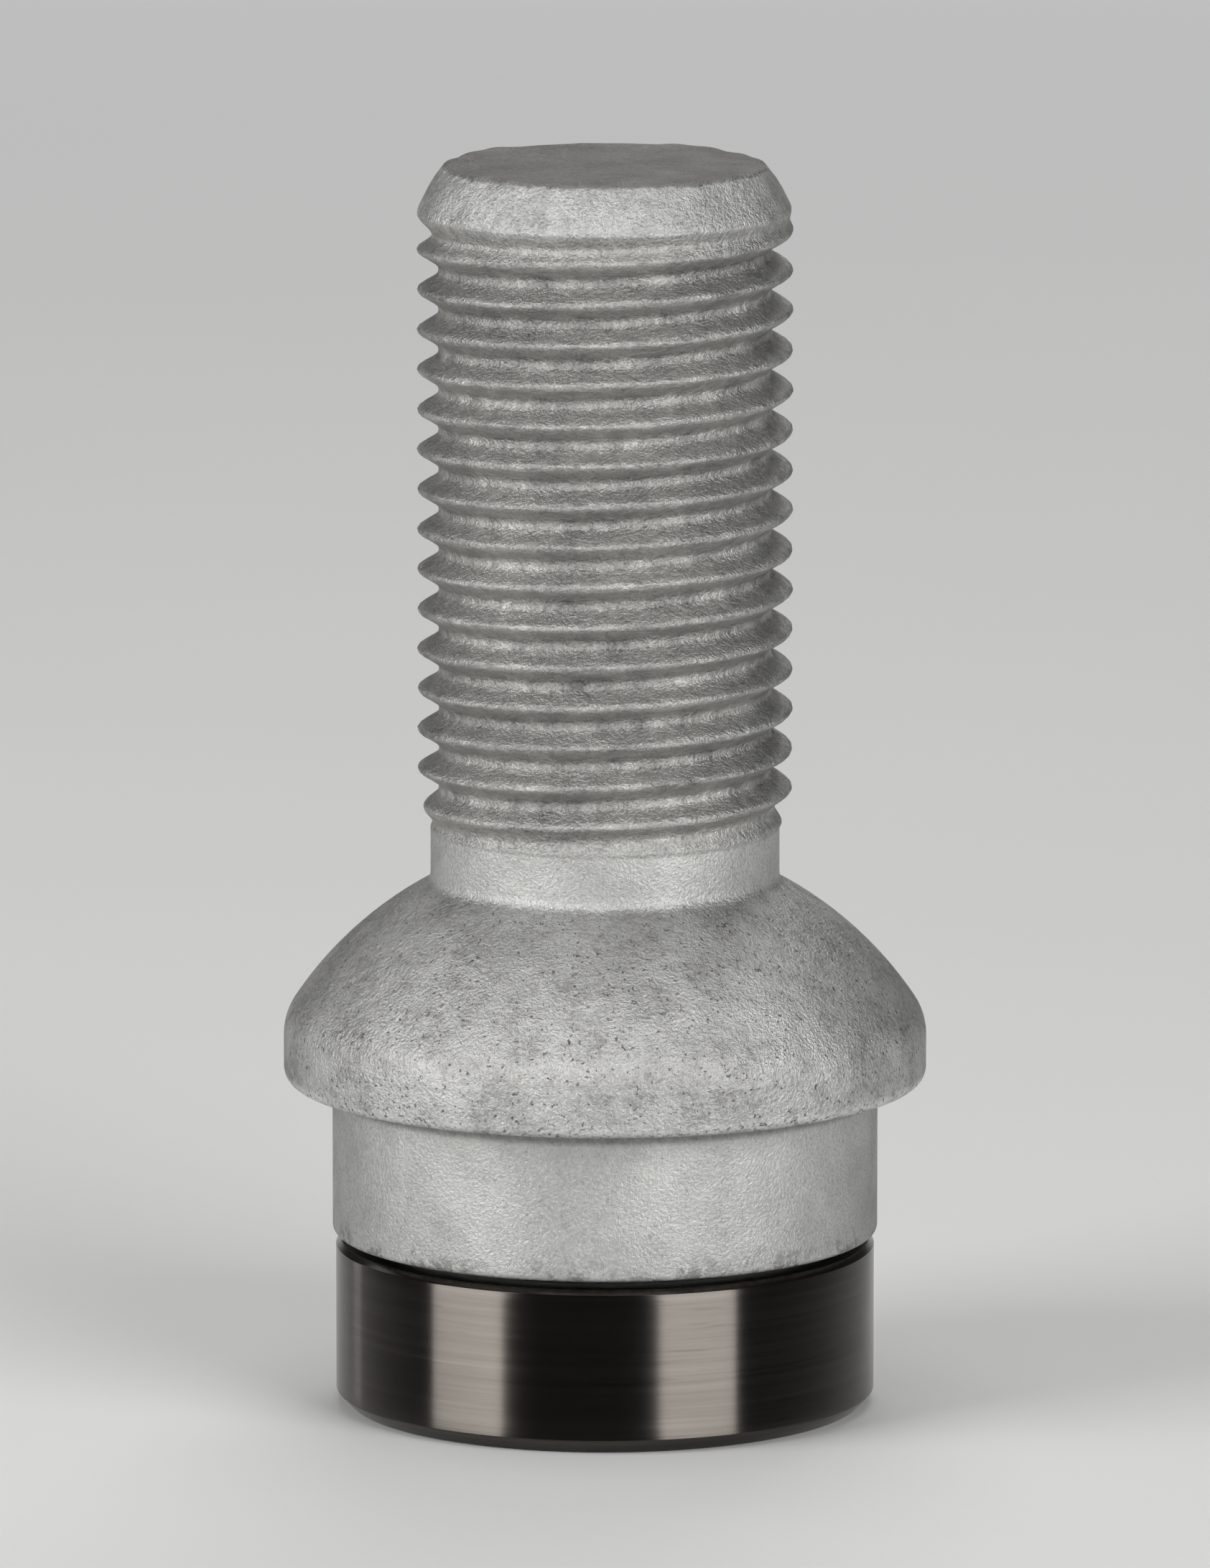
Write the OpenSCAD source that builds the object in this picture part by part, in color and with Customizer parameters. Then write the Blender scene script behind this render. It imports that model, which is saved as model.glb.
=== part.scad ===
// Locking wheel bolt with a ball seat and a freely spinning collar, in millimetres.
// It stands on its head. Z is the axis, Z = 0 is the free end of the collar and the tip is at the top.
// The thread is rolled on the plain shank at its full outside diameter.

/* [Shank] */
// Outside diameter of the thread
thread_d = 14; // [12:0.5:16]
// Pitch of the thread
thread_pitch = 1.5; // [1:0.25:2]
// Length from the ball seat to the tip, neck and thread together
shank_len = 27; // [20:0.5:50]
// Length of the plain neck between the ball seat and the thread
neck_len = 2; // [1:0.1:6]
// Radius of the fillet between the neck and the ball seat
neck_fillet = 0.5; // [0.2:0.05:1.2]
// Length of the cone at the tip
tip_len = 1.9; // [0.8:0.1:3]
// Drop in radius from the thread to the flat at the tip
tip_drop = 0.95; // [0.5:0.05:1.5]

/* [Flange and ball seat] */
// Radius of the ball seat
seat_r = 14; // [12:0.5:18]
// Height of the ball seat along the axis, from the flange's land to the neck
seat_len = 5.2; // [4.4:0.1:6.4]
// Length of the cylindrical land on the flange
land_len = 2.4; // [1:0.1:5]
// Chamfer on the edge of the flange beside the barrel
flange_edge = 0.3; // [0.1:0.05:0.6]

/* [Barrel] */
// Diameter of the barrel
barrel_d = 20.4; // [19:0.1:21.4]
// Length of the barrel from the collar's gap to the flange
barrel_len = 5.7; // [3:0.1:15]
// Radius of the fillet between the barrel and the flange
barrel_fillet = 0.4; // [0.2:0.05:0.6]
// Chamfer on the edge of the barrel beside the collar
barrel_edge = 0.25; // [0.1:0.05:0.6]

/* [Key spigot] */
// Diameter of the spigot that carries the key groove and the collar
spigot_d = 16.8; // [15.5:0.1:17.4]
// Depth of the spigot's end face inside the collar's free end
spigot_recess = 0.3; // [0.1:0.1:1.5]
// Chamfer on the end of the spigot
spigot_edge = 0.3; // [0.1:0.05:0.6]

/* [Key groove] */
// Width of the wavy key groove
key_width = 1.8; // [1.2:0.1:2.2]
// Height of the waves either side of the groove's mean circle
key_wave = 0.9; // [0.3:0.1:1.2]
// Least wall between the groove and the side of the spigot
key_rim = 1; // [0.7:0.1:1.6]
// Metal between the bottom of the key groove and the retaining ring's groove
key_web = 0.9; // [0.5:0.1:1.5]

/* [Spinning collar] */
// Length of the collar
collar_len = 6.2; // [5.4:0.1:12]
// Wall of the collar
collar_wall = 1.6; // [1.3:0.1:2.5]
// Radial clearance between the collar and the spigot
collar_clear = 0.08; // [0.05:0.01:0.1]
// Gap between the collar and the shoulder of the barrel
collar_gap = 0.3; // [0.2:0.05:0.8]
// Chamfer on the free end of the collar
collar_edge = 0.5; // [0.2:0.05:0.8]
// Chamfer on the end of the collar beside the barrel
collar_back_edge = 0.2; // [0.1:0.05:0.4]
// Chamfer on both ends of the collar's bore
bore_edge = 0.3; // [0.1:0.05:0.5]

/* [Retaining ring] */
// Wire diameter of the split retaining ring
wire_d = 1; // [0.7:0.1:1.2]
// Length of the collar behind the ring's groove
collar_lip = 0.7; // [0.6:0.1:1.5]
// Clearance of the wire in its grooves
wire_clear = 0.1; // [0.05:0.01:0.15]
// Opening of the split in the ring, as an angle
split_angle = 24; // [10:1:60]

/* [Hidden] */
$fn = 128;
// Corner points of the wavy groove, enough to read as a smooth curve
key_points = 96;
// How far a cut runs past the face that it opens
over = 1;

thread_r = thread_d / 2;
// A rolled thread grows from a blank of its pitch diameter, which the neck keeps
neck_r = thread_r - 0.3248 * thread_pitch;
// The flange is as wide as the ball seat is where it ends
seat_top = sqrt(seat_r ^ 2 - neck_r ^ 2);
flange_r = sqrt(seat_r ^ 2 - (seat_top - seat_len) ^ 2);
barrel_r = barrel_d / 2;
spigot_r = spigot_d / 2;
bore_r = spigot_r + collar_clear;
collar_r = bore_r + collar_wall;

// Heights along the bolt, from the free end of the collar
barrel_z = collar_len + collar_gap;
flange_z = barrel_z + barrel_len;
land_z = flange_z + land_len;
neck_z = land_z + seat_len;
seat_z = neck_z - seat_top;
thread_z = neck_z + neck_len;
tip_z = neck_z + shank_len;
// The thread runs out to the neck over one pitch
run_out = thread_pitch;

// The wire springs out into the collar's groove and stands half in the spigot's
wire_slot = wire_d + 2 * wire_clear;
wire_z = collar_len - collar_lip - wire_slot / 2;
wire_mid_r = bore_r;
collar_groove_r = wire_mid_r + wire_d / 2 + wire_clear;
// The spigot's groove is deep enough to take the whole wire as the collar is pushed on
spigot_groove_r = spigot_r - wire_d - wire_clear;

key_r = spigot_r - key_rim - key_width / 2 - key_wave;
// Shares of the three kinds of wave in the groove's line, which add up to one
three_wave = 0.42;
four_wave = 0.36;
seven_wave = 0.22;
key_depth = wire_z - wire_slot / 2 - key_web - spigot_recess;

// Half section of a turned length from z0 to z1, chamfered by e0 and e1 at its two outer corners
module turned(r, z0, z1, e0 = 0, e1 = 0) {
    polygon([[0, z0], [r - e0, z0], [r, z0 + e0], [r, z1 - e1], [r - e1, z1], [0, z1]]);
}

// Half section of a bore of radius r from z0 to z1, opened by a chamfer e at both ends
module bore_section(r, z0, z1, e) {
    polygon([
        [0, z0 - over],
        [r + e + over, z0 - over],
        [r, z0 + e],
        [r, z1 - e],
        [r + e + over, z1 + over],
        [0, z1 + over]
    ]);
}

// Half section of a groove of width w round a middle height z, from radius r0 out to r1
module groove_section(r0, r1, z, w) {
    translate([r0, z - w / 2]) square([r1 - r0, w]);
}

// Concave fillet between a shaft of radius r and a flat shoulder above it at height z
module shoulder_fillet(r, z, f) {
    difference() {
        translate([r - f, z - f]) square([2 * f, 2 * f]);
        translate([r + f, z - f]) circle(r = f);
    }
}

// Ball seat: a true sphere about a point on the axis, cut off by the flange's land and by the neck
module ball_section() {
    intersection() {
        translate([0, seat_z]) circle(r = seat_r);
        translate([0, flange_z + flange_edge]) square([flange_r, neck_z - flange_z]);
    }
}

// Concave fillet between the neck and the ball seat. Its centre stands a hair closer than its radius,
// so that the arc crosses both surfaces cleanly instead of only touching them
module neck_fillet_section() {
    reach = 0.98 * neck_fillet;
    mid_r = neck_r + reach;
    mid_z = seat_z + sqrt((seat_r + reach) ^ 2 - mid_r ^ 2);
    inner = (seat_r - reach) / (seat_r + reach);
    difference() {
        polygon([
            [mid_r, mid_z],
            [mid_r * inner, seat_z + (mid_z - seat_z) * inner],
            [neck_r - reach, seat_z + (mid_z - seat_z) * inner],
            [neck_r - reach, mid_z]
        ]);
        translate([mid_r, mid_z]) circle(r = neck_fillet);
    }
}

// Neck, run-out, plain shank at the thread's outside diameter, and the cone at the tip
module shank_section() {
    polygon([
        [0, land_z],
        [neck_r, land_z],
        [neck_r, thread_z],
        [thread_r, thread_z + run_out],
        [thread_r, tip_z - tip_len],
        [thread_r - tip_drop, tip_z],
        [0, tip_z]
    ]);
}

// Half section of the whole forged and turned body
module bolt_section() {
    difference() {
        union() {
            turned(spigot_r, spigot_recess, barrel_z + barrel_edge, spigot_edge);
            turned(barrel_r, barrel_z, flange_z + flange_edge, barrel_edge);
            shoulder_fillet(barrel_r, flange_z, barrel_fillet);
            turned(flange_r, flange_z, land_z, flange_edge);
            ball_section();
            shank_section();
        }
        groove_section(spigot_groove_r, spigot_r + over, wire_z, wire_slot);
    }
}

// Middle line of the key groove: a circle with an uneven mix of three, four and seven waves round it
function key_line_r(a) =
    key_r + key_wave * (three_wave * sin(3 * a + 20) + four_wave * cos(4 * a) + seven_wave * sin(7 * a + 75));
function key_line(a) = key_line_r(a) * [cos(a), sin(a)];
function key_side(a) =
    let (d = key_line(a + 0.5) - key_line(a - 0.5))
    [d[1], -d[0]] / norm(d);
function key_wall(side) =
    [for (i = [0 : key_points - 1]) let (a = i * 360 / key_points) key_line(a) + side * key_side(a)];

// The closed wavy slot that the key's matching rib drops into
module key_groove() {
    translate([0, 0, spigot_recess - over])
        linear_extrude(height = key_depth + over)
            difference() {
                polygon(key_wall(key_width / 2));
                polygon(key_wall(-key_width / 2));
            }
}

// One steel forging from the wavy lock face to the threaded tip
module bolt_body() {
    color("silver")
        difference() {
            union() {
                rotate_extrude() bolt_section();
                rotate_extrude() neck_fillet_section();
            }
            key_groove();
        }
}

// Hardened ring that turns loosely round the spigot, so that nothing can grip the lock
module spin_collar() {
    color([0.12, 0.11, 0.11])
        rotate_extrude()
            difference() {
                turned(collar_r, 0, collar_len, collar_edge, collar_back_edge);
                bore_section(bore_r, 0, collar_len, bore_edge);
                groove_section(bore_r - over, collar_groove_r, wire_z, wire_slot);
            }
}

// Split ring of spring wire that stands half in the collar and half in the spigot
module retaining_ring() {
    color("gray")
        rotate([0, 0, split_angle / 2])
            rotate_extrude(angle = 360 - split_angle)
                translate([wire_mid_r, wire_z]) circle(d = wire_d, $fn = 32);
}

bolt_body();
spin_collar();
retaining_ring();
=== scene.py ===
"""A locking wheel bolt standing on its head, with its thread up and its dark collar at the bottom.

Sizes are in millimetres and meshes in metres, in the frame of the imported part: Z is the bolt's
axis and Z = 0 is the free end of the collar, on which the bolt stands.
"""

import math

import bmesh
import bpy
import numpy as np
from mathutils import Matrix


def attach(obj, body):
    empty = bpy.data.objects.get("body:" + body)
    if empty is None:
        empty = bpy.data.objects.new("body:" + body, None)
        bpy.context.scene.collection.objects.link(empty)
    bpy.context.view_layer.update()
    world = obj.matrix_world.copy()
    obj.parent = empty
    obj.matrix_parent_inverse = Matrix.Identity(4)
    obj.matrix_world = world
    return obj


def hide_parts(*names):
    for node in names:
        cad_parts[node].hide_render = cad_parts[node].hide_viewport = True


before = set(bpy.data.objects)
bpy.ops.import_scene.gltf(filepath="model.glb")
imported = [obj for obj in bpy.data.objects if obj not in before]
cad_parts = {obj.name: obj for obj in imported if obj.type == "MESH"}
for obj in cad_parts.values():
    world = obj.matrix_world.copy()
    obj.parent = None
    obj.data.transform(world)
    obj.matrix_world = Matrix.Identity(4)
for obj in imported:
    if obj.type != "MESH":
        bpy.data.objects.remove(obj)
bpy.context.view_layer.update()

# Bolt body: one steel forging, turned, thread-rolled and then coated with dull silver flake.
# Its skin is one closed sheet, laid from the middle of the tip, down over the thread, the neck, the
# ball seat, the flange and the barrel, and round under the head into the wavy key groove.
MM = 0.001
COLUMNS = 168
TURN = np.linspace(0, 2 * np.pi, COLUMNS + 1)

thread_r = 7.0
pitch = 1.5
# The thread's pitch line, which is also the neck's radius, and its root lie these shares of a pitch
# inside its crest
blank_r = thread_r - 0.3248 * pitch
root_r = thread_r - 0.5413 * pitch
shank_len = 27.0
neck_len = 2.0
tip_len = 1.9
tip_drop = 0.95
neck_fillet = 0.5
seat_r = 14.0
seat_len = 5.2
seat_shoulder = 2.2
land_len = 2.4
flange_edge = 0.55
barrel_r = 10.2
barrel_len = 5.7
barrel_fillet = 0.40
barrel_edge = 0.24
spigot_r = 8.4
spigot_recess = 0.3
spigot_edge = 0.28
collar_len = 6.2
collar_gap = 0.3
# The retaining ring's groove, cut half in the spigot and half in the collar
ring_slot = 1.2
spigot_groove = 1.1
ring_top = collar_len - 0.7
ring_foot = ring_top - ring_slot

barrel_z = collar_len + collar_gap
flange_z = barrel_z + barrel_len
land_z = flange_z + land_len
neck_z = land_z + seat_len
thread_z = neck_z + neck_len
tip_z = neck_z + shank_len
seat_top = math.sqrt(seat_r**2 - blank_r**2)
seat_z = neck_z - seat_top
flange_r = math.sqrt(seat_r**2 - (seat_top - seat_len) ** 2)


def smooth_step(x, low, high):
    """0 below low, 1 above high and an S-curve between them."""
    t = np.clip((x - low) / (high - low), 0, 1)
    return t * t * (3 - 2 * t)


def soft_least(a, b, blend):
    """The lesser of a and b, rounded where they cross over a width of blend."""
    h = np.clip(0.5 + 0.5 * (b - a) / blend, 0, 1)
    return b + (a - b) * h - blend * h * (1 - h)


def rounded(corners, step=0.45, arc_points=7):
    """A half section from corners (r, z, radius). Each corner becomes a quadratic curve that touches
    both its sides and passes through the middle of that arc, and each straight run between two
    curves is cut into equal lengths of about a step."""
    places = np.array([c[:2] for c in corners], float)
    t = np.linspace(0, 1, arc_points)[:, None]
    curves = [places[:1]]
    for before, here, after, (_, _, radius) in zip(places, places[1:], places[2:], corners[1:]):
        u = (before - here) / np.linalg.norm(before - here)
        v = (after - here) / np.linalg.norm(after - here)
        half = math.acos(np.clip(u @ v, -1, 1)) / 2
        start, end = here + u * radius / math.tan(half), here + v * radius / math.tan(half)
        middle = here + (u + v) / np.linalg.norm(u + v) * (radius / math.sin(half) - radius)
        control = 2 * middle - (start + end) / 2
        curves.append(start * (1 - t) ** 2 + 2 * control * t * (1 - t) + end * t**2)
    curves.append(places[-1:])
    runs = [curves[0]]
    for before, after in zip(curves, curves[1:]):
        cuts = max(1, int(np.linalg.norm(after[0] - before[-1]) / step))
        runs += [np.linspace(before[-1], after[0], cuts + 1)[1:], after[1:]]
    return np.concatenate(runs)


def revolved(section):
    """Turns a half section (r, z) round the axis: one row of places a section point."""
    r, z = section[:, :1], section[:, 1:]
    return np.stack([r * np.cos(TURN), r * np.sin(TURN), z + 0 * TURN], axis=-1)


def skin(name, rows):
    """A closed mesh through rows of places in millimetres. Places that lie within a hair of each
    other, where rows and seams meet, are merged."""
    hair = 2e-7
    count, across = rows.shape[:2]
    index = np.arange(count * across).reshape(count, across)
    quads = np.stack([index[:-1, :-1], index[:-1, 1:], index[1:, 1:], index[1:, :-1]], axis=-1)
    mesh = bpy.data.meshes.new(name)
    mesh.from_pydata((rows.reshape(-1, 3) * MM).tolist(), [], quads.reshape(-1, 4).tolist())
    work = bmesh.new()
    work.from_mesh(mesh)
    bmesh.ops.remove_doubles(work, verts=work.verts, dist=hair)
    bmesh.ops.dissolve_degenerate(work, edges=work.edges, dist=hair / 2)
    bmesh.ops.recalc_face_normals(work, faces=work.faces)
    work.to_mesh(mesh)
    work.free()
    mesh.shade_smooth()
    piece = bpy.data.objects.new(name, mesh)
    bpy.context.scene.collection.objects.link(piece)
    return piece


def thread_form(turns):
    """Radius of a rolled thread at a place along the axis counted in turns: straight 60 degree
    flanks through the pitch line, cut off and rounded at the crest and at the root."""
    crest_blend, root_blend = 0.17, 0.26
    from_crest = np.abs((turns + 0.5) % 1 - 0.5) * pitch
    flank = blank_r + (pitch / 4 - from_crest) * math.sqrt(3)
    return -soft_least(-soft_least(flank, thread_r, crest_blend), -root_r, root_blend)


# How far below the tip the thread's rows end and the rows of the cone and face begin
tip_rows = 1.0
# The cone's corner with the thread is rounded over this width, and the cone is lifted to make up for it
cone_blend = 0.12
cone_lift = 0.04


def threaded_rows():
    """Rows that wind with the thread, so that its crest and root lines stay crisp. Past either end
    they are held at that end, where the thread has faded into the neck or the tip's cone. Rolling
    leaves the ridge a little uneven, by a product of two sines of the angle wound so far."""
    waver, first_rise, run_out, tip_fade = 0.05, 0.25, 1.8, 1.3
    # Shares of a turn at which rows lie: crest, flank and root, closer together where it is rounded
    marks = np.array([0, 0.045, 0.075, 0.11, 0.16, 0.25, 0.33, 0.38, 0.42, 0.46])
    marks = np.sort(np.concatenate([marks, 1 - marks[1:], [0.5]]))
    top = tip_z - tip_rows
    turns = (np.arange(-1, math.ceil((top - thread_z) / pitch) + 1)[:, None] + marks).ravel()[:, None]
    z = np.clip(thread_z + pitch * (turns + TURN / (2 * np.pi)), thread_z, top)
    wound = 2 * np.pi * turns + TURN
    uneven = 0.5 + 0.5 * np.sin(5.3 * wound) * np.sin(8.7 * wound + 1)
    form = thread_form(turns + 0 * TURN)
    form = form - waver * uneven * (form - root_r) / (thread_r - root_r)
    cone = thread_r - tip_drop * (1 - (tip_z - z) / tip_len)
    full = soft_least(np.full_like(z, thread_r), cone + cone_lift, cone_blend)
    at_neck = 0.30 * smooth_step(z, thread_z, thread_z + first_rise)
    at_neck = at_neck + 0.70 * smooth_step(z, thread_z, thread_z + run_out)
    at_tip = smooth_step(tip_z - z, tip_len - 0.35, tip_len + tip_fade)
    r = full - (thread_r - form) * at_tip
    r = blank_r + (r - blank_r) * at_neck
    return np.stack([r * np.cos(TURN), r * np.sin(TURN), z], axis=-1)[::-1]


def sheared_tip():
    """Rows of the tip's face and cone. The rim between them is left lumpy by the shear that cuts the
    blank: it sinks and draws in by a sum of sines of the angle, most at the rim itself."""
    rim_edge, reach, sink, draw_in = 0.35, 0.9, 0.16, 0.016
    rim = np.array([thread_r - tip_drop, tip_z])
    cone_end_r = thread_r - tip_drop * (1 - tip_rows / tip_len) + cone_lift
    section = rounded([(0, tip_z, 0), (*rim, rim_edge), (cone_end_r, tip_z - tip_rows, 0)], step=0.4)
    rows = revolved(section)
    lumps = 0.5 + 0.22 * np.sin(4 * TURN + 1) + 0.16 * np.sin(9 * TURN + 2) + 0.12 * np.sin(21 * TURN)
    near = smooth_step(reach - np.linalg.norm(section - rim, axis=1), 0, reach)[:, None] * lumps
    rows[..., :2] *= 1 - draw_in * near[..., None]
    rows[..., 2] -= sink * near
    return rows


def ball_run():
    """Half section of the neck's fillet, the ball seat and the soft shoulder below it: three arcs
    that touch one another, the middle one about a point on the axis."""
    fillet, shoulder = neck_fillet, seat_shoulder
    start = math.asin((blank_r + fillet) / (seat_r + fillet))
    end = math.asin((flange_r - shoulder) / (seat_r - shoulder))

    def arc(r, z, radius, first, last, count):
        a = np.linspace(first, last, count)
        return np.stack([r + radius * np.sin(a), z + radius * np.cos(a)], axis=-1)

    fillet_z = seat_z + (seat_r + fillet) * math.cos(start)
    shoulder_z = seat_z + (seat_r - shoulder) * math.cos(end)
    return np.concatenate(
        [
            arc(blank_r + fillet, fillet_z, fillet, -math.pi / 2, start - math.pi, 7)[1:],
            arc(0, seat_z, seat_r, start, end, 26)[1:],
            arc(flange_r - shoulder, shoulder_z, shoulder, end, math.pi / 2, 7)[1:],
        ]
    )


# The key groove's middle line is a circle with an uneven mix of three, four and seven waves
key_width = 1.8
key_wave = 0.9
key_rim = 1.0
key_depth = 3.1
key_r = spigot_r - key_rim - key_width / 2 - key_wave


def key_line(angle):
    """Places on the middle line of the key groove."""
    wave = 0.42 * np.sin(3 * angle + math.radians(20)) + 0.36 * np.cos(4 * angle)
    wave = wave + 0.22 * np.sin(7 * angle + math.radians(75))
    r = key_r + key_wave * wave
    return np.stack([r * np.cos(angle), r * np.sin(angle)], axis=-1)


def key_rows():
    """Rows across the end face: the rim, down the groove's outer wall, over its floor, up its inner
    wall and over the middle. Each is an offset of the groove's middle line at one depth."""
    ahead = key_line(TURN + 0.008) - key_line(TURN - 0.008)
    side = np.stack([ahead[:, 1], -ahead[:, 0]], axis=-1) / np.linalg.norm(ahead, axis=-1, keepdims=True)
    half, floor, lip = key_width / 2, spigot_recess + key_depth, 0.14
    outer_wall = np.array(
        [
            (half + 0.45, spigot_recess),
            (half + lip, spigot_recess),
            (half + lip * 0.3, spigot_recess + lip * 0.3),
            (half, spigot_recess + lip),
            (half, floor - 0.9),
            (half, floor - 0.15),
            (half - 0.05, floor - 0.05),
            (half - 0.15, floor),
        ]
    )
    across = np.concatenate([outer_wall, [(0, floor)], outer_wall[::-1] * (-1, 1)])
    flat = key_line(TURN) + side * across[:, None, :1]
    depth = np.broadcast_to(across[:, None, 1:], (*flat.shape[:2], 1))
    rows = np.concatenate([flat, depth], axis=-1)
    inward = np.array([0.75, 0.5, 0.25, 0.0])[:, None, None]
    middle = rows[-1] * np.concatenate([inward, inward, inward * 0 + 1], axis=-1)
    return np.concatenate([rows, middle])


# The neck's rows run from just under the thread to just above the fillet
neck_heights = np.linspace(thread_z - 0.15, neck_z + 0.45, 4)
neck_section = np.stack([np.full(4, blank_r), neck_heights], axis=-1)
seat_section = ball_run()
head_section = rounded(
    [
        (*seat_section[-1], 0),
        (flange_r, flange_z, flange_edge),
        (barrel_r, flange_z, barrel_fillet),
        (barrel_r, barrel_z, barrel_edge),
        (spigot_r, barrel_z, 0.15),
        (spigot_r, ring_top, 0.05),
        (spigot_r - spigot_groove, ring_top, 0.05),
        (spigot_r - spigot_groove, ring_foot, 0.05),
        (spigot_r, ring_foot, 0.05),
        (spigot_r, spigot_recess, spigot_edge),
        (spigot_r - 0.4, spigot_recess, 0),
    ]
)[1:]
turned_rows = revolved(np.concatenate([neck_section, seat_section, head_section]))
bolt = skin("bolt_body_skin", np.concatenate([sheared_tip(), threaded_rows(), turned_rows, key_rows()]))


class Wire:
    """One output of a shader node. The usual operators put Math nodes behind it. Without an output
    it stands for the node tree itself, for a first node to be made in."""

    def __init__(self, tree, end=None):
        self.tree, self.end = tree, end

    def node(self, kind, settings=(), values=(), output=0):
        """A node of that kind: its settings first, then numbers, colours or wires for its sockets."""
        made = self.tree.nodes.new(kind)
        for key, value in dict(settings).items():
            setattr(made, key, value)
        for key, value in dict(values).items():
            socket = made.inputs[key]
            if isinstance(value, Wire):
                self.tree.links.new(value.end, socket)
            elif socket.type == "RGBA":
                socket.default_value = (*value, 1)
            else:
                socket.default_value = value
        return Wire(self.tree, made.outputs[output])

    def beside(self, output):
        """Another output of the same node."""
        return Wire(self.tree, self.end.node.outputs[output])

    def maths(self, operation, *values):
        """A Math node of that operation on these numbers or wires."""
        return self.node("ShaderNodeMath", {"operation": operation}, enumerate(values))

    def __add__(self, other):
        return self.maths("ADD", self, other)

    def __radd__(self, other):
        return self.maths("ADD", other, self)

    def __sub__(self, other):
        return self.maths("SUBTRACT", self, other)

    def __rsub__(self, other):
        return self.maths("SUBTRACT", other, self)

    def __mul__(self, other):
        return self.maths("MULTIPLY", self, other)

    def __rmul__(self, other):
        return self.maths("MULTIPLY", other, self)

    def step(self, low, high):
        """0 where this is below low, 1 above high and an S-curve between; low may be the greater."""
        limits = {"Value": self, "From Min": low, "From Max": high}
        return self.node("ShaderNodeMapRange", {"interpolation_type": "SMOOTHSTEP"}, limits)

    def band(self, low, high, soft):
        """1 between low and high, fading out over soft on either side."""
        return self.step(low - soft, low + soft) * self.step(high + soft, high - soft)

    def noise(self, scale, detail=2.0, roughness=0.55, stretch=(1, 1, 1)):
        """Noise of that many lumps a millimetre at this place, drawn out along the axes."""
        place = self.node("ShaderNodeVectorMath", {"operation": "MULTIPLY"}, {0: self, 1: stretch})
        knobs = {"Vector": place, "Scale": scale, "Detail": detail, "Roughness": roughness}
        return self.node("ShaderNodeTexNoise", {}, knobs)

    def mix(self, at_0, at_1):
        """The first colour where this is 0, the second where it is 1."""
        sockets = {"Factor": self, "A": at_0, "B": at_1}
        return self.node("ShaderNodeMix", {"data_type": "RGBA"}, sockets, "Result")

    def shade(self, colour):
        """A colour made lighter or darker by this factor."""
        return self.node("ShaderNodeVectorMath", {"operation": "SCALE"}, {0: colour, "Scale": self})

    def bump(self, strength, depth):
        """The surface's normal with this as its height, at that strength and depth in millimetres."""
        sockets = {"Strength": strength, "Distance": depth * MM, "Height": self}
        return self.node("ShaderNodeBump", {}, sockets)


def finish(name, **constants):
    """A new material with these numbers on its shader's own sockets, and wires for the place on the
    object in millimetres, the distance from the axis and the height along it."""
    material = bpy.data.materials.new(name)
    material.use_nodes = True
    shader = material.node_tree.nodes["Principled BSDF"]
    for key, value in constants.items():
        shader.inputs[key.replace("_", " ")].default_value = value
    metres = Wire(material.node_tree).node("ShaderNodeTexCoord", output="Object")
    place = metres.node("ShaderNodeVectorMath", {"operation": "SCALE"}, {0: metres, "Scale": 1 / MM})
    x = place.node("ShaderNodeSeparateXYZ", (), {0: place})
    y, z = x.beside("Y"), x.beside("Z")
    squared = x * x + y * y
    return material, place, squared.maths("SQRT", squared), z


def feed(material, **wires):
    """Links each wire to the socket of that name on the material's shader."""
    shader = material.node_tree.nodes["Principled BSDF"]
    for key, wire in wires.items():
        material.node_tree.links.new(wire.end, shader.inputs[key.replace("_", " ")])


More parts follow.
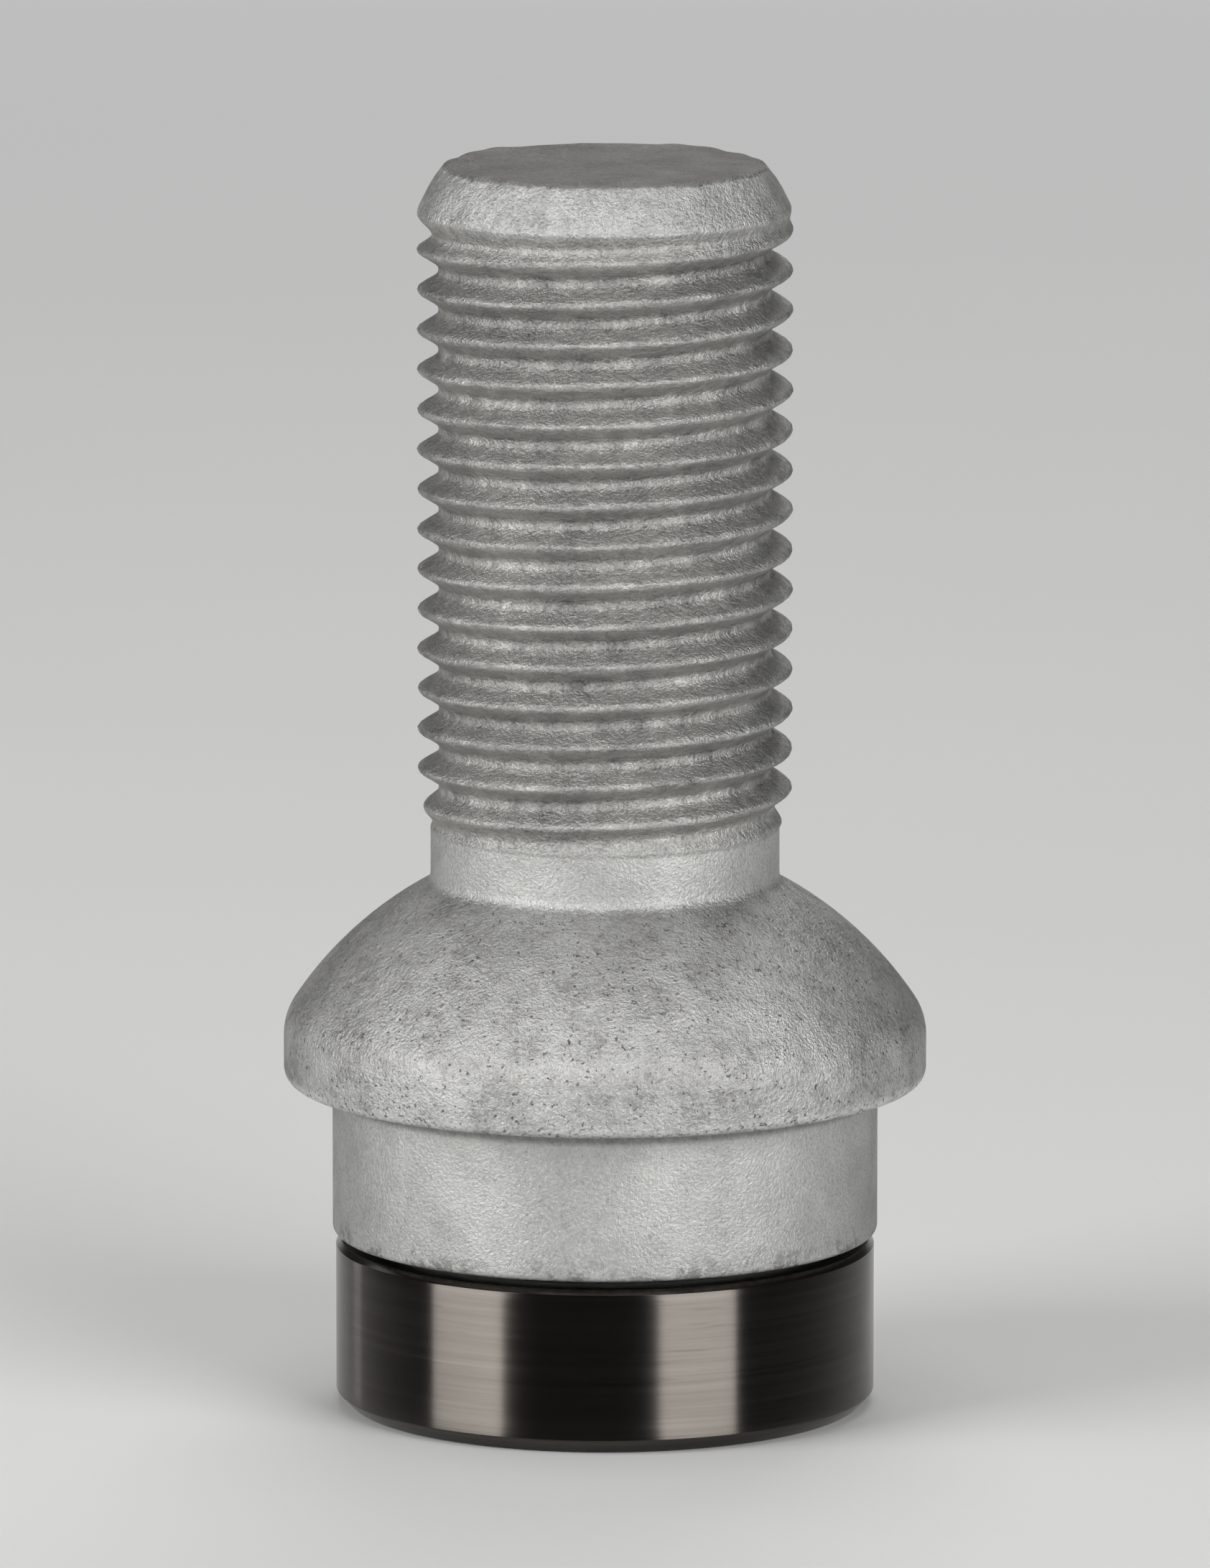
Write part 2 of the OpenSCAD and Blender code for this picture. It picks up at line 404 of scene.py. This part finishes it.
def coated_steel():
    """Dull silver flake coat. The turned barrel, neck and tip cone are light and even, the ball seat
    is darker and sandy, and the thread's grey flanks lie between crests and roots of a more uneven
    tone. The tip's end face is painted dark as shade. The flange's corner is worn, and is also
    painted near white as a highlight. Dirt is rubbed into the seat and the cone and pitted with dark
    specks, painted shade with some dirt lies dark under the flange, and a stain runs along the
    barrel's edge by the collar."""
    material, place, r, z = finish("coated_steel", Metallic=0.93, Specular_Tint=(0.26, 0.26, 0.255, 1))
    sand = place.noise(8.0, 3.0, 0.7)
    clouds = place.noise(0.7, 3.0, 0.6)
    patches = place.noise(0.3, 3.0, 0.6)
    dots = place.noise(5.5, 2.0, 0.6)
    blots = place.noise(2.0, 4.0, 0.7)
    grit = place.noise(3.2, 4.0, 0.75)

    seat = z.band(land_z - 0.6, neck_z, 0.35)
    land = z.band(flange_z - 0.05, land_z - 0.6, 0.15) * r.step(barrel_r + 0.2, barrel_r + 0.8)
    thread = z.band(thread_z, tip_z - tip_len, 0.12)
    cone = z.step(tip_z - tip_len - 0.1, tip_z - tip_len + 0.1)
    end_face = (z + (blots - 0.5) * 0.3).step(tip_z - 0.26, tip_z - 0.14)

    flank = (r - root_r).band(0.11, 0.75, 0.05)
    ridge_paint = (blots * 1.2 + clouds * 0.9 - 0.15).shade((0.48, 0.475, 0.46))
    thread_paint = flank.mix(ridge_paint, (blots * 1.0 + 0.48).shade((0.49, 0.485, 0.47)))
    paint = (seat * 0.9).mix((0.58, 0.58, 0.565), (0.57, 0.565, 0.55))
    paint = thread.mix(paint, thread_paint)
    # The tip's end face is painted dark as shade, since it faces up where little light falls
    paint = end_face.mix(paint, (0.30, 0.295, 0.29))

    # The flange's lower corner is painted near white: partly wear through the coat, partly a painted
    # highlight along the edge
    wear_and_highlight = land * z.step(flange_z + 0.62, flange_z + 0.25) * dots.step(0.36, 0.50)
    paint = (wear_and_highlight * 0.8).mix(paint, (0.92, 0.92, 0.91))
    grime = (seat + land + cone) * clouds.step(0.62, 0.38) * grit.step(0.60, 0.36) * 0.55
    paint = grime.mix(paint, (0.27, 0.265, 0.255))
    pits = ((seat + land + 0.45) * dots.step(0.38, 0.31) + blots.step(0.33, 0.27) * 0.6) * 0.65
    paint = pits.mix(paint, (0.17, 0.165, 0.16))
    # A dark band on the barrel just under the flange: painted shade from the overhang, with some dirt
    shade_and_dirt_under_flange = z.band(flange_z - 0.5, flange_z + 0.05, 0.15) * r.step(barrel_r + 0.9, barrel_r + 0.3)
    paint = (shade_and_dirt_under_flange * (grit * 0.8 + 0.3)).mix(paint, (0.15, 0.145, 0.14))
    by_collar = z.step(barrel_z + 1.4, barrel_z) * r.step(spigot_r, barrel_r)
    stain = by_collar * clouds.step(0.46, 0.60) * grit.step(0.60, 0.44) * 0.8
    paint = stain.mix(paint, (0.22, 0.215, 0.21))

    relief = sand * 0.8 + blots * (seat + land + thread * 1.4 + cone * 2.0 + end_face * 2.0 + 0.2)
    feed(
        material,
        Base_Color=(sand * 0.8 + clouds * 0.36 + patches * 0.6 + 0.14).shade(paint),
        Roughness=sand * 0.22 + 0.34,
        Normal=relief.bump(0.7, 0.10),
    )
    return material


bolt.data.materials.append(coated_steel())
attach(bolt, "bolt")
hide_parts("bolt_body")

# Spinning collar: a hardened ring, turned and then plated dark and mirror bright. It turns loosely
# on the spigot, and a ring groove in its bore takes the wire that keeps it on.
collar_clear = 0.08
collar_wall = 1.6
collar_edge = 0.5
collar_back_edge = 0.2
bore_edge = 0.3
collar_groove = 0.6
bore_r = spigot_r + collar_clear
collar_r = bore_r + collar_wall
# The section is closed on itself at a place half way up the plain bore
seam = (bore_r, 1.6, 0)
collar_section = rounded(
    [
        seam,
        (bore_r, bore_edge, 0.04),
        (bore_r + bore_edge, 0, 0.05),
        (collar_r - collar_edge, 0, 0.08),
        (collar_r, collar_edge, 0.10),
        (collar_r, collar_len - collar_back_edge, 0.06),
        (collar_r - collar_back_edge, collar_len, 0.06),
        (bore_r + bore_edge, collar_len, 0.05),
        (bore_r, collar_len - bore_edge, 0.04),
        (bore_r, ring_top, 0.05),
        (bore_r + collar_groove, ring_top, 0.05),
        (bore_r + collar_groove, ring_foot, 0.05),
        (bore_r, ring_foot, 0.05),
        seam,
    ]
)
collar = skin("spin_collar_skin", revolved(collar_section))


def dark_chrome():
    """Near-black mirror plating over fine turning lines, which run round the ring and draw its
    highlights out along the axis. The lines are fine ledges that all lean towards the tip."""
    material, place, r, z = finish("dark_chrome", Metallic=1.0, Anisotropic=0.78, Anisotropic_Rotation=0.25)
    lines = place.noise(1.0, 4.0, 0.7, stretch=(0.05, 0.05, 5.0))
    cloud = place.noise(0.35, 2.0)
    scratch = place.noise(1.0, 1.0, 0.5, stretch=(0.35, 0.35, 5.0)).step(0.64, 0.74)
    wall = z.band(collar_edge, collar_len - collar_back_edge, 0.05) * r.step(collar_r - 0.2, collar_r - 0.1)
    level = lines.bump(0.2, 0.003)
    lean = wall.node("ShaderNodeCombineXYZ", (), {"Z": wall * 0.30})
    ledges = level.node("ShaderNodeVectorMath", {"operation": "ADD"}, {0: level, 1: lean})
    paint = (scratch * 0.5).mix((0.075, 0.068, 0.061), (0.053, 0.048, 0.043))
    feed(
        material,
        Base_Color=(lines * 0.9 + 0.55).shade(paint),
        Roughness=lines * 0.06 + cloud * 0.05 + 0.135,
        Normal=ledges.node("ShaderNodeVectorMath", {"operation": "NORMALIZE"}, {0: ledges}),
    )
    return material


collar.data.materials.append(dark_chrome())
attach(collar, "collar")
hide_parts("spin_collar")


# Retaining ring: drawn spring wire, bent round and cut off, shut in between the collar and spigot.
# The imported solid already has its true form, so it only gets its finish.
def spring_steel():
    """Bare drawn wire with fine lines along it."""
    material, place, _, _ = finish("spring_steel", Metallic=1.0)
    lines = place.noise(1.0, 3.0, 0.6, stretch=(0.3, 0.3, 9.0))
    feed(
        material,
        Base_Color=(lines * 0.4 + 0.8).shade((0.42, 0.41, 0.40)),
        Roughness=lines * 0.2 + 0.25,
        Normal=lines.bump(0.3, 0.01),
    )
    return material


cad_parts["retaining_ring"].material_slots[0].material = spring_steel()


# Studio: a plain pale floor that runs out to a pale wall, with soft boxes at the front left and
# right, two behind and a broad one overhead. Above the wall the studio is dim.
def soft_box(name, azimuth, elevation, distance, width, height, radiance):
    """A rectangular lamp that faces the bolt, with its lengths in metres. Azimuth 0 is at the camera
    and grows to the right."""
    lamp = bpy.data.lights.new(name, "AREA")
    lamp.shape = "RECTANGLE"
    lamp.size, lamp.size_y = width, height
    lamp.energy = radiance * math.pi * width * height
    a, e = math.radians(azimuth), math.radians(elevation)
    away = np.array([math.sin(a) * math.cos(e), -math.cos(a) * math.cos(e), math.sin(e)])
    box = bpy.data.objects.new(name, lamp)
    box.location = away * distance + np.array([0, 0, 0.02])
    box.rotation_euler = (math.pi / 2 - e, 0, a)
    box.visible_camera = False
    bpy.context.scene.collection.objects.link(box)


soft_box("left_box", -62, 26, 0.45, 0.27, 0.26, 5.4)
soft_box("right_box", 41, 26, 0.45, 0.27, 0.26, 5.2)
soft_box("low_back_box", -130, 24, 0.45, 0.06, 0.40, 0.9)
soft_box("back_box", 172, 46, 0.50, 0.30, 0.30, 2.6)
soft_box("top_box", 0, 86, 0.50, 0.36, 0.36, 1.0)

wall_tone = 0.53
dim_tone = 0.05
world = bpy.data.worlds.new("studio")
bpy.context.scene.world = world
world.use_nodes = True
outward = Wire(world.node_tree).node("ShaderNodeTexCoord", output="Generated")
height = outward.node("ShaderNodeSeparateXYZ", (), {0: outward}, "Z")
studio_tone = height.step(0.22, 0.06) * (wall_tone - dim_tone) + dim_tone
world.node_tree.links.new(studio_tone.end, world.node_tree.nodes["Background"].inputs["Color"])

# The floor is a disc, in metres, and lies a hair under the collar's free end
floor_r = 2.4
floor_gap = 0.00002
floor_corners = 96
rim_angles = np.linspace(0, 2 * np.pi, floor_corners + 1)[:-1]
floor_rim = [floor_r * np.cos(rim_angles), floor_r * np.sin(rim_angles), 0 * rim_angles - floor_gap]
floor_mesh = bpy.data.meshes.new("floor")
floor_mesh.from_pydata(np.stack(floor_rim, axis=-1).tolist(), [], [list(range(floor_corners))])
floor = bpy.data.objects.new("floor", floor_mesh)
bpy.context.scene.collection.objects.link(floor)
floor_paint, floor_place, floor_reach, _ = finish("floor_paint", Roughness=0.9, Specular_IOR_Level=0.1)
feed(floor_paint, Base_Color=(floor_place.noise(0.02) * 0.04 + 0.98).shade((0.76, 0.76, 0.75)))
# Between these distances from the axis, in millimetres, the floor turns into the pale of the wall,
# so that no edge shows where it ends
near_floor = 120
far_floor = 480
painted = Wire(floor_paint.node_tree, floor_paint.node_tree.nodes["Principled BSDF"].outputs[0])
as_wall = painted.node("ShaderNodeEmission", (), {"Color": (wall_tone, wall_tone, wall_tone)})
to_wall = floor_reach.step(near_floor, far_floor)
both = painted.node("ShaderNodeMixShader", (), {0: to_wall, 1: painted, 2: as_wall})
floor_paint.node_tree.links.new(both.end, floor_paint.node_tree.nodes["Material Output"].inputs["Surface"])
floor_mesh.materials.append(floor_paint)

# Camera: as far off as in the photograph, about 0.6 m, and 10 degrees above the bolt's middle,
# with a long lens so that the bolt fills most of the frame.
camera_range = 0.60
camera_elevation = math.radians(10)
view_height = 0.0585
lens = bpy.data.cameras.new("camera")
lens.sensor_width = 36
lens.lens = lens.sensor_width * camera_range / view_height
lens.dof.use_dof = False
camera = bpy.data.objects.new("camera", lens)
camera.location = (
    0,
    -camera_range * math.cos(camera_elevation),
    tip_z * MM / 2 + camera_range * math.sin(camera_elevation),
)
camera.rotation_euler = (math.pi / 2 - camera_elevation, 0, 0)
bpy.context.scene.collection.objects.link(camera)
bpy.context.scene.camera = camera
bpy.context.scene.view_settings.view_transform = "Standard"
